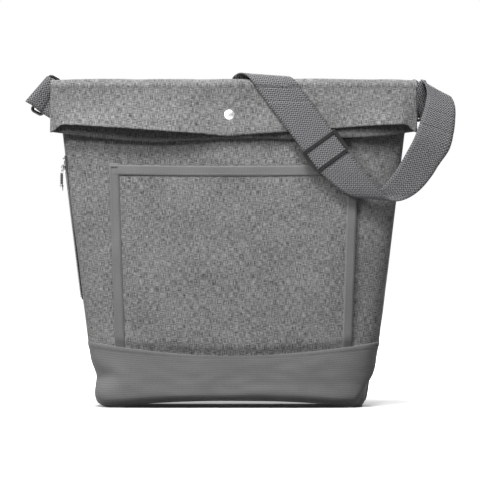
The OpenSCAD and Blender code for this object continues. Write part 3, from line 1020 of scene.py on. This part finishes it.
def make_crest():
    """The front half of the fold, whose weave goes on from the back's. Returns where its weave ends."""
    grid = []
    for k in range(FOLD_STEPS + 1):
        angle = 90 + 90 * k / FOLD_STEPS
        grid.append([arch_point(x, angle) for x in [-RIM_HALF] + MAIN_X + [RIM_HALF]])
    grid.append([Vector((p.x, FRONT_PIVOT.y, RIM_TOP)) for p in grid[-1]])
    down = running([row[RIM_COLUMNS // 2] for row in grid])
    crest = cloth("fold_cloth", grid, 1.0, lambda i, j: (-grid[i][j].x, fold_top_v + down[i]),
                  open_edges=("start", "end"))
    places = ((0, FRONT_PIVOT.y + 5, FOLD_Z + 6), (0, FRONT_PIVOT.y, FOLD_Z - 2))
    bridge(crest, MELANGE, "melange_cloth", ("fold_band", "flap"), places)
    return fold_top_v + down[-1]


def make_outer_rim(rim_v):
    """The outer rim in two halves. Each bends from its shut side seam to where it opens freely."""
    rows = [rim_row(k / RIM_ROWS) for k in range(RIM_ROWS + 1)]
    halves = (("left", -1, slice(0, RIM_SPLIT + 1), "right"), ("right", 1, slice(RIM_SPLIT, None), "left"))
    for word, side, columns, open_edge in halves:
        part = [row[columns] for row in rows]
        uv_of = lambda i, j: (-part[i][j].x, rim_v + RIM_TOP - part[i][j].z)
        rim = cloth("outer_rim_cloth_" + word, part, 1.2, uv_of, open_edges=("start", open_edge))
        bridge(rim, MELANGE, "melange_cloth", ("flap", "outer_rim"), gape_places(side), ["outer_rim"])


def make_inner_rim():
    """The inner rim: melange cloth behind, and towards the mouth a darker copy of the melange, which is painted shade.
    """
    grid = []
    for k in range(INNER_ROWS + 1):
        free = 1 - k / INNER_ROWS
        line = []
        for j in range(RIM_COLUMNS + 1):
            x = mix(-RIM_HALF + 1, RIM_HALF - 1, j / RIM_COLUMNS)
            z = mix(inner_edge(x), RIM_TOP, k / INNER_ROWS)
            uneven = 0.6 * ripple(x, z, 30, 7.7) * free
            line.append(Vector((x, inner_y(z) - uneven - inner_bow(x) * free ** 2, z)))
        grid.append(line)
    # The front layer, towards the mouth, wears the darker melange as painted shade.
    for name, y, material in (("inner_rim_cloth", 0.3, MELANGE), ("inner_rim_painted_shade", -0.35, SHADED_MELANGE)):
        layer = [[p + Vector((0, y, 0)) for p in line] for line in grid]
        thing = cloth(name, layer, 0.6, lambda i, j: (grid[i][j].x, grid[i][j].z), open_edges=("end",))
        piece(thing, material, "melange_cloth", "flap", ["inner_rim"])


def make_neck():
    """The front wall's cloth turns over inside the fold and becomes the inner rim."""
    top = FOLD_Z + 4
    lower_y = -wall_y(0, RIM_TOP) + 0.6
    upper_y = inner_y(RIM_TOP)
    over = ((lower_y + upper_y) / 2, top)
    first_half = [(lower_y, RIM_TOP - 2), (lower_y - 0.1, FOLD_Z + 1), (lower_y - 0.5, top - 1), over]
    second_half = [over, (upper_y + 0.4, top - 1), (upper_y, FOLD_Z + 1), (upper_y, RIM_TOP)]
    halves = (("rear", first_half, ("root", "fold_band")), ("front", second_half, ("fold_band", "flap")))
    for word, route, bodies in halves:
        line = spline([Vector((0, y, z)) for y, z in route], 4)
        neck = [[Vector((x, p.y, p.z)) for x in MAIN_X] for p in line]
        uv_of = lambda i, j: (neck[i][j].x, 1.2 * i)
        thing = cloth("neck_cloth_" + word, neck, 0.9, uv_of, open_edges=("start", "end"))
        bridge(thing, MELANGE, "melange_cloth", bodies, (line[0], line[-1]))


def make_rim_stitches():
    """The row of stitches that holds the outer rim's hem."""
    lift = Vector((0, -0.75, 0))
    halves = (("left", -1, slice(2, RIM_SPLIT)), ("right", 1, slice(RIM_SPLIT, RIM_COLUMNS - 1)))
    for word, side, columns in halves:
        path = [rim_point(x, 1 - 4.5 / (RIM_TOP - outer_edge(x))) + lift for x in MAIN_X[columns]]
        stitches = stitch_row("outer_rim_stitches_" + word, path, front_of, radius=0.24)
        bridge(stitches, THREAD, "melange_cloth", ("flap", "outer_rim"), gape_places(side))


make_outer_rim(make_crest())
make_inner_rim()
make_neck()
make_rim_stitches()


# ---- Snap -------------------------------------------------------------------

def make_snap():
    tilt = math.radians(90) - math.atan(RIM_SLOPE)
    place = Vector((SNAP_X, outer_y(SNAP_Z), SNAP_Z))
    placing = Matrix.Translation(place) @ Matrix.Rotation(tilt, 4, "X")
    dome = []
    for k in range(13):
        r = 5.5 * k / 12
        dome.append((r, 1.15 + 1.75 * (1 - (r / 5.9) ** 2) ** 0.8))
    for k in range(9):
        angle = math.radians(100 - 200 * k / 8)
        dome.append((5.75 + 0.5 * math.cos(angle), 1.05 + 0.45 * math.sin(angle)))
    dome.append((0, 0.6))
    cap = lathe("snap_cap_dome", dome, placing, 64)
    piece(cap, NICKEL, "snap_metal", "outer_rim", ["snap_cap"])


make_snap()


# ---- Strap ------------------------------------------------------------------

STRAP_LEAN = 0.74
STRAP_SLOPE = 0.165
STRAP_RUN = math.sqrt(1 + STRAP_SLOPE ** 2)
HALF_ROW = WEBBING_W / 2 * math.sqrt(1 + (STRAP_LEAN / STRAP_RUN) ** 2)
STRAP_FRONT_Y = FRONT_PIVOT.y - 2.2
STRAP_BACK_Y = BACK_PIVOT.y + 2.2
STRAP_FRONT_X = 49
STRAP_BACK_X = 22
FRONT_END_Z = 262
CREST_RISE = 7.0


def flat_row(x, y, z):
    return [Vector((x - HALF_ROW, y, z)), Vector((x + HALF_ROW, y, z))]


def front_row(z):
    drop = RIM_TOP - z
    return flat_row(STRAP_FRONT_X + STRAP_LEAN * drop, STRAP_FRONT_Y - STRAP_SLOPE * drop, z)


def crest_row(angle):
    """The strap over the fold, from the back crease (0) to the front (180).

    Its left edge stands up off the cloth."""
    a = math.radians(angle)
    half = (STRAP_BACK_Y - STRAP_FRONT_Y) / 2
    x = mix(STRAP_BACK_X, STRAP_FRONT_X, angle / 180)
    row = flat_row(x, FOLD_MID_Y + half * math.cos(a), FOLD_Z + (CROWN + 1.9) * math.sin(a))
    row[0].z += CREST_RISE * math.cos(a / 2) ** 2 * smooth(-30, 40, angle)
    row[0].x -= 3.0 * math.cos(a / 2) ** 2
    return row


def pairs(*rows):
    """Rows of webbing, each given as its two edges' coordinates."""
    return [[Vector(row[:3]), Vector(row[3:])] for row in rows]


def curved(rows, steps, before=None, after=None):
    """Rows of webbing on a smooth curve through the given rows."""
    edges = []
    for k in (0, 1):
        edges.append(spline([row[k] for row in rows], steps,
                            before[k] if before else None, after[k] if after else None))
    return [list(both) for both in zip(*edges)]


strap_v = 0


def webbing(name, rows, go_on=True):
    """A stretch of webbing between two edges, whose ribs go on from the stretch before."""
    global strap_v
    if not go_on:
        strap_v = 0
    columns = 10
    grid = []
    for left, right in rows:
        grid.append([left.lerp(right, j / columns) for j in range(columns + 1)])
    half = columns // 2
    runs = [strap_v + run for run in running([row[half] for row in grid])]
    strap_v = runs[-1]
    ahead = []
    for i in range(len(grid)):
        along = grid[min(len(grid) - 1, i + 1)][half] - grid[max(0, i - 1)][half]
        ahead.append(along.normalized())

    def uv_of(i, j):
        """Ribs run square to the strap, even where a row is cut on a slant."""
        return WEBBING_W * (j / columns - 0.5), runs[i] + (grid[i][j] - grid[i][half]).dot(ahead[i])

    return cloth(name, grid, WEBBING_T, uv_of)


def bend_span(rows):
    """Two places between which webbing bends: in line with the run, and square to its rows."""
    first = rows[0]
    final = rows[-1]
    across = (first[1] - first[0] + final[1] - final[0]).normalized()
    start = (first[0] + first[1]) / 2
    step = (final[0] + final[1]) / 2 - start
    step -= across * step.dot(across)
    return start + step * 0.12, start + step * 0.88


def bent(name, rows, a, b):
    """A stretch of webbing that follows body a at its first row and body b at its last."""
    bridge(webbing(name, rows), WEBBING, "webbing", (a, b), bend_span(rows))


def ring_axes(node, tilt, outward):
    """A ring's middle, its long axis and its short axis towards the bag."""
    angle = math.radians(tilt)
    long_axis = Vector((math.cos(angle), 0, -math.sin(angle)))
    short = Vector((-math.sin(angle), 0, -math.cos(angle))) * outward
    return middle_of(node), long_axis, short


LEFT_RING = ring_axes("ring_left", -61.4, 1)
RIGHT_RING = ring_axes("ring_right", -106.1, -1)
BAR_S = 6.2
LOOSE_S = 0.8


def ring_rows(ring, path, upper=0.0, lower=0.0):
    """Webbing across a ring. upper and lower shift its two edges sideways where it leaves the ring."""
    middle, long_axis, inward = ring
    half = WEBBING_W / 2
    rows = []
    for s, y in path:
        m = middle + inward * s + Vector((0, y, 0))
        free = smooth(5, -4, s)
        rows.append([m + long_axis * half + inward * upper * free,
                     m - long_axis * (half - 0.5 * abs(lower) * free) + inward * lower * free])
    return rows


def wrap(s, r, steps=12):
    """Half a turn round a bar at distance s from the ring's middle, from the front to the back."""
    out = []
    for k in range(steps + 1):
        a = math.radians(-90 + 180 * k / steps)
        out.append((s - r * math.cos(a), r * math.sin(a)))
    return out


REAR_MIDDLE = [(-200, 24.9, 339), (-170, 25, 322), (-138, 26, 304), (-104, 27, 286), (-70, 26, 275),
               (-36, 24, 280), (-12, 19, 304), (6, 13, 328)]
REAR_SIDE = [(9, 0, 17), (9, 0, 17), (9, 0, 17), (8, 0, 17),
             (0, 0, 19), (-9, 0, 17), (-15, 0, 11), (-18, 0, 8)]


def make_strap_behind():
    """The strap from the left ring, behind the bag and over the fold, to the outer rim."""
    rear = [[Vector(m) + Vector(s), Vector(m) - Vector(s)] for m, s in zip(REAR_MIDDLE, REAR_SIDE)]
    end_r = 4.9
    turn = ring_rows(LEFT_RING, [(8, -2.4), (5.5, -3.4), (3, -4.6), (0, -end_r), (-3, -end_r)]
                     + wrap(-BAR_S, end_r) + [(-3, end_r)], upper=2.6, lower=-5.2)
    piece(webbing("strap_turn_left", turn), WEBBING, "webbing", "ring_left", ["strap_end_left"])
    start = curved([turn[-1], rear[0], rear[1]], 5, before=turn[-2])
    bent("strap_start_left", start, "ring_left", "root")
    rear[-1][0] += Vector((0, 0, 5))
    crease = crest_row(0)
    crease[0].z += 1.5
    run = curved(rear[1:] + [crease], 7, before=rear[0], after=crest_row(20))
    crest = [crest_row(7.5 * k) for k in range(13)]
    behind = webbing("strap_rear", run[:-1] + crest)
    places = ((STRAP_BACK_X, STRAP_BACK_Y, FOLD_Z - 3), (STRAP_BACK_X + 8, BACK_PIVOT.y - 5, FOLD_Z + 10.5))
    bridge(behind, WEBBING, "webbing", ("root", "fold_band"), places, ["strap_rear_run", "strap_over_fold"])
    over = [crest_row(90 + 7.5 * k) for k in range(13)] + [front_row(RIM_TOP)]
    bent("strap_crest", over, "fold_band", "flap")
    bent("strap_neck", [front_row(RIM_TOP - 1.5 * k) for k in range(11)], "flap", "outer_rim")


def make_strap_before():
    """The strap's front run, its hanging loop, the turn over the right shoulder and the right ring."""
    straight = [front_row(mix(RIM_TOP - 15, FRONT_END_Z, k / 24)) for k in range(24)]
    loop = pairs(
        (107, -31.5, 246, 152, -31.5, 246), (120, -32, 236, 161, -32, 236),
        (130, -31, 231, 170, -31, 228), (138, -27.5, 230, 180, -27.5, 226),
        (150, -24.5, 233, 191, -25, 229), (163, -24, 240, 204, -25, 238),
        (178, -23.5, 258, 216, -24, 252), (190, -23, 278, 225, -23.5, 266),
        (199, -22.5, 295, 236, -22.5, 282), (205, -19, 311, 241, -19, 299))
    shoulder = pairs(
        (211, -13, 329, 243.5, -14, 317), (214, -5, 344, 243.5, -7, 332), (212, 3, 356, 239, 2, 342))
    link = pairs((208, 11, 360.5, 233, 11, 336), (212.5, 19, 360.5, 228, 19, 325))
    foot = front_row(FRONT_END_Z)
    curve = curved([foot] + loop, 6, before=front_row(FRONT_END_Z + 12), after=shoulder[0])
    front = webbing("strap_front", straight + curve)
    piece(front, WEBBING, "webbing", "outer_rim", ["strap_front_run", "strap_loop"])
    stages = [loop[-1]] + shoulder + link
    bodies = ["outer_rim", "flap", "fold_band", "root"]
    names = ["strap_shoulder_front", "strap_shoulder_top", "strap_shoulder_rear"]
    for k, name in enumerate(names):
        before = loop[-2] if k == 0 else stages[k - 1]
        rows = curved([stages[k], stages[k + 1]], 7, before=before, after=stages[k + 2])
        bent(name, rows, bodies[k], bodies[k + 1])
    rows = curved([stages[3], stages[4], stages[5]], 6, before=stages[2])
    piece(webbing("strap_link_right", rows), WEBBING, "webbing", "root", ["strap_right_link"])
    small = 3.0
    slack_turn = [(-2 * LOOSE_S - s, y) for s, y in wrap(-LOOSE_S, small)][::-1]
    tail = [(-5, -small), (-9, -small), (-13.5, -2.2)]
    round_bar = ring_rows(RIGHT_RING, [(-12.5, small), (-8, small), (-4, small)] + slack_turn + tail)
    turn_in = pairs((213.2, 22.6, 359.8, 225.6, 22.6, 324))[0]
    rows = curved([stages[5], turn_in, round_bar[0]], 4, before=stages[4])
    bent("strap_end_run_right", rows, "root", "ring_right")
    piece(webbing("strap_turn_right", round_bar), WEBBING, "webbing", "ring_right", ["strap_end_right"])


def make_tabs():
    """Webbing tabs that hold the inner bar of each ring to the side seam."""
    for word, ring, node in (("left", LEFT_RING, "ring_tab_left"), ("right", RIGHT_RING, "ring_tab_right")):
        path = [(26, -8), (17, -6.5), (10, -3.4)] + wrap(BAR_S, 3.0) + [(10, 2.2), (17, -0.5), (26, -6)]
        rows = curved(ring_rows(ring, path), 2)
        thing = webbing("ring_tab_cloth_" + word, rows, go_on=False)
        piece(thing, WEBBING, "webbing", "root", [node])


make_strap_behind()
make_strap_before()
make_tabs()


# ---- Hard pieces ------------------------------------------------------------

def blocks(name, boxes, placing, rounding, segments=3):
    """Moulded bars: boxes of (lowest corner, highest corner) in a frame of their own, with rounded edges."""
    points = []
    faces = []
    for low, high in boxes:
        base = len(points)
        for k in range(8):
            corner = [high[axis] if k >> axis & 1 else low[axis] for axis in range(3)]
            points.append(placing @ Vector(corner))
        for quad in ((0, 2, 3, 1), (4, 5, 7, 6), (0, 1, 5, 4), (2, 6, 7, 3), (0, 4, 6, 2), (1, 3, 7, 5)):
            faces.append(tuple(base + q for q in quad))
    return bevelled(new_object(name, points, faces), rounding, segments)


def slab_ring(name, outer, inner, low, high, placing, rounding):
    """A flat frame: an outer rounded outline with a rounded window, between two heights."""

    def outline(size, corner):
        line = []
        for k, (sx, sy) in enumerate(((1, 1), (-1, 1), (-1, -1), (1, -1))):
            for step in range(7):
                a = math.radians(90 * k + 15 * step)
                line.append((sx * (size[0] - corner) + corner * math.cos(a),
                             sy * (size[1] - corner) + corner * math.sin(a)))
        return line

    loops = [outline(outer, 3.2), outline(inner, 1.0)]
    count = len(loops[0])
    points = []
    for loop in loops:
        for h in (low, high):
            points += [placing @ Vector((x, y, h)) for x, y in loop]
    faces = []
    for k in range(count):
        n = (k + 1) % count
        faces.append((k, n, count + n, count + k))
        faces.append((2 * count + n, 2 * count + k, 3 * count + k, 3 * count + n))
        faces.append((count + k, count + n, 3 * count + n, 3 * count + k))
        faces.append((n, k, 2 * count + k, 2 * count + n))
    return bevelled(new_object(name, points, faces), rounding, 3, angle=50)


def make_glide():
    """The strap's tri-glide: a frame before the webbing, and a bar behind it."""
    fall = math.atan(STRAP_RUN / STRAP_LEAN)
    placing = (Matrix.Translation(middle_of("strap_slider"))
               @ Matrix.Rotation(-math.atan(STRAP_SLOPE), 4, "X")
               @ Matrix.Rotation(fall, 4, "Y") @ Matrix.Rotation(math.radians(90), 4, "X"))
    clear = 1.0
    thick = 1.5
    frame_piece = slab_ring("glide_frame", (14.2, 23.0), (10.8, 19.7), clear, clear + thick, placing, 0.5)
    piece(frame_piece, SLIDER, "slider_plastic", "strap_slider", ["strap_slider"])
    bars = [((-2.2, -20, -clear - thick), (2.2, 20, -clear))]
    for side in (-1, 1):
        edge = sorted((side * 19.8, side * 22.9))
        bars.append(((-10, edge[0], -clear - thick), (10, edge[1], clear + 0.6)))
    piece(blocks("glide_bars", bars, placing, 0.7), SLIDER, "slider_plastic", "strap_slider")


ZIP_LEAN = math.atan((KNEE_HALF - SEAM_HALF) / (KNEE_Z - SEAM_Z))
ZIP_OUT = Vector((-math.cos(ZIP_LEAN), 0, -math.sin(ZIP_LEAN)))
ZIP_UP = Vector((-math.sin(ZIP_LEAN), 0, math.cos(ZIP_LEAN)))
COIL_PITCH = 1.7
COIL_POINTS = 8


def make_zip_tapes():
    """Each side's coil, tape and row of stitches."""
    foot, head = span("zip_coil_front", 2)
    start = Vector((-profile(foot)[0], 0, foot))
    length = (head - foot) / math.cos(ZIP_LEAN) - 1
    for side, word in ((-1, "front"), (1, "back")):
        path = []
        for k in range(int(length / COIL_PITCH) * COIL_POINTS):
            angle = k * math.tau / COIL_POINTS
            centre = start + ZIP_UP * (k / COIL_POINTS * COIL_PITCH + 1) + ZIP_OUT * 1.95
            sideways = Vector((0, side * (1.0 + 0.8 * math.sin(angle)), 0))
            path.append(centre + ZIP_OUT * 0.5 * math.cos(angle) + sideways)
        piece(tube("zip_teeth_" + word, path, 0.3, 6), COIL, "zip_coil", "root", ["zip_coil_" + word])
        grid = []
        for i in range(41):
            z = mix(foot - 4, head + 4, i / 40)
            line = []
            for j in range(7):
                y = side * mix(0.3, 8, j / 6)
                line.append(Vector((-wall_x(y, z) - 0.8, y, z)))
            grid.append(line)
        tape = cloth("zip_tape_cloth_" + word, grid, 0.7)
        piece(tape, ZIP_TAPE, "zip_tape", "root", ["zip_tape_" + word])
        heights = range(int(foot), int(head) + 4, 2)
        seam = [Vector((-wall_x(side * 6.6, z) - 1.25, side * 6.6, z)) for z in heights]
        piece(stitch_row("zip_stitches_" + word, seam, lambda p: ZIP_OUT), THREAD, "zip_tape", "root")


def make_zip_slider():
    """The zip's slider, and the loop, plaited cord and end of its pull."""
    face = 4.25
    half_w = 3.5
    half_h = 4.4
    slider_z = middle_of("zip_slider").z
    middle = Vector((-profile(slider_z)[0], 0, slider_z))
    placing = Matrix((
        (ZIP_OUT.x, 0, ZIP_UP.x, middle.x),
        (0, -1, 0, 0),
        (ZIP_OUT.z, 0, ZIP_UP.z, middle.z),
        (0, 0, 0, 1)))
    # A face plate, two guides beside the coil, and a bridge of two posts and a bar for the pull.
    boxes = [((3.1, -half_w, -half_h), (face, half_w, half_h)),
             ((1.4, -half_w, -half_h), (face, -2.5, 3.0)),
             ((1.4, 2.5, -half_h), (face, half_w, 3.0)),
             ((face - 0.3, -1.1, -3.4), (face + 1.9, 1.1, -1.6)),
             ((face - 0.3, -1.1, 1.6), (face + 1.9, 1.1, 3.4)),
             ((face + 1.1, -1.1, -3.4), (face + 2.1, 1.1, 3.4))]
    piece(blocks("zip_slider_body", boxes, placing, 0.45), SATIN, "zip_metal", "zip_slider", ["zip_slider"])

    pin = joint_place("zip_pull_swing")
    ring = []
    for k in range(28):
        a = k * math.tau / 28
        ring.append(pin + Vector((0.25 * math.cos(a), 1.9 * math.sin(a), -2.6 + 3.5 * math.cos(a))))
    link = tube("zip_pull_loop", ring, 0.55, 8, closed=True)
    piece(link, SATIN, "zip_metal", "zip_pull", ["zip_pull_link"])
    cord = []
    for k in range(13):
        z = -5.5 - k
        wide = 1.5 + 0.35 * math.cos(k * 2.4)
        cord.append((wide, z))
    plait = lathe("zip_pull_plait", [(0, -5.2)] + cord + [(0, -18.2)], Matrix.Translation(pin), 20)
    piece(plait, CORD, "pull_cord", "zip_pull", ["zip_pull_grip"])
    tip = [(0, -17.4), (1.7, -17.6), (1.95, -18.2), (1.9, -20), (1.65, -24), (1.3, -24.8), (0, -25)]
    end = lathe("zip_pull_end", tip, Matrix.Translation(pin), 32)
    piece(end, SATIN, "zip_metal", "zip_pull", ["zip_pull_tip"])


make_glide()
make_zip_tapes()
make_zip_slider()

for node_name, material in (("ring_left", RING), ("ring_right", RING), ("snap_socket", NICKEL),
                            ("snap_stud", NICKEL), ("snap_eyelet", NICKEL),
                            ("zip_top_stop", SATIN), ("zip_bottom_stop", SATIN)):
    carried = frame["nodes"][node_name]
    carried.data.materials.clear()
    carried.data.materials.append(material)


# ---- Floor, light and camera ------------------------------------------------

def make_floor():
    size = 9000
    steps = 6
    points = []
    for i in range(steps + 1):
        for j in range(steps + 1):
            points.append((mix(-size, size, i / steps), mix(-size, size, j / steps), cad_low.z / MM - 0.2))
    faces = []
    for i in range(steps):
        for j in range(steps):
            a = i * (steps + 1) + j
            faces.append((a, a + steps + 1, a + steps + 2, a + 1))
    floor = new_object("floor", points, faces)
    m = Nodes("pale floor")
    grain = m.noise(m.scaled(40, 40, "object"), detail=2)
    material = m.finish(m.ramp(grain, [(0.3, 0.9), (0.7, 0.92)]), roughness=0.9)
    away = m.add("VectorMath", {"operation": "LENGTH"})
    m.join(m.add("TexCoord").outputs["Object"], away.inputs[0])
    glow = m.add("MapRange")
    glow.inputs["From Min"].default_value = 0.12
    glow.inputs["From Max"].default_value = 0.4
    m.join(away.outputs["Value"], glow.inputs["Value"])
    m.shader.inputs["Emission Color"].default_value = (1, 1, 1, 1)
    m.join(glow.outputs[0], m.shader.inputs["Emission Strength"])
    floor.data.materials.append(material)
    floor.visible_diffuse = False
    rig.stage(floor)


def area_light(name, place, target, size, power, tone=(1, 1, 1)):
    data = bpy.data.lights.new(name, "AREA")
    data.shape = "RECTANGLE"
    data.size, data.size_y = size
    data.energy = power
    data.color = tone
    lamp = bpy.data.objects.new(name, data)
    lamp.location = place
    lamp.rotation_euler = (Vector(target) - Vector(place)).to_track_quat("-Z", "Y").to_euler()
    bpy.context.collection.objects.link(lamp)


def make_studio():
    world = bpy.data.worlds.new("studio")
    world.use_nodes = True
    tree = world.node_tree
    backdrop = tree.nodes["Background"]
    backdrop.inputs[0].default_value = (1, 1, 1, 1)
    backdrop.inputs[1].default_value = 1.0
    soft = tree.nodes.new("ShaderNodeBackground")
    soft.inputs[1].default_value = 0.11
    path = tree.nodes.new("ShaderNodeLightPath")
    either = tree.nodes.new("ShaderNodeMixShader")
    tree.links.new(path.outputs["Is Camera Ray"], either.inputs[0])
    tree.links.new(soft.outputs[0], either.inputs[1])
    tree.links.new(backdrop.outputs[0], either.inputs[2])
    tree.links.new(either.outputs[0], tree.nodes["World Output"].inputs[0])
    bpy.context.scene.world = world
    bpy.context.scene.view_settings.view_transform = "Standard"
    middle = (0, 0, 0.2)
    area_light("key", (-2.5, -1.95, 2.25), middle, (0.95, 0.95), 80)
    area_light("top", (-0.2, -0.72, 2.1), middle, (1.2, 0.6), 53)
    area_light("back", (0.6, 1.9, 1.6), middle, (1.6, 1.0), 40)


def make_camera():
    data = bpy.data.cameras.new("camera")
    data.lens = 217
    data.sensor_width = 36
    camera = bpy.data.objects.new("camera", data)
    aim = Vector((0.007, 0, 0.183))
    camera.location = aim + Vector((0, -3.2, 0))
    camera.rotation_euler = (math.radians(90), 0, 0)
    bpy.context.collection.objects.link(camera)
    bpy.context.scene.camera = camera


make_floor()
make_studio()
make_camera()

low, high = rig.bounds()
with open("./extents.json", "w") as report:
    json.dump({"cad": [list(cad_low), list(cad_high)], "visual": [list(low), list(high)]}, report)
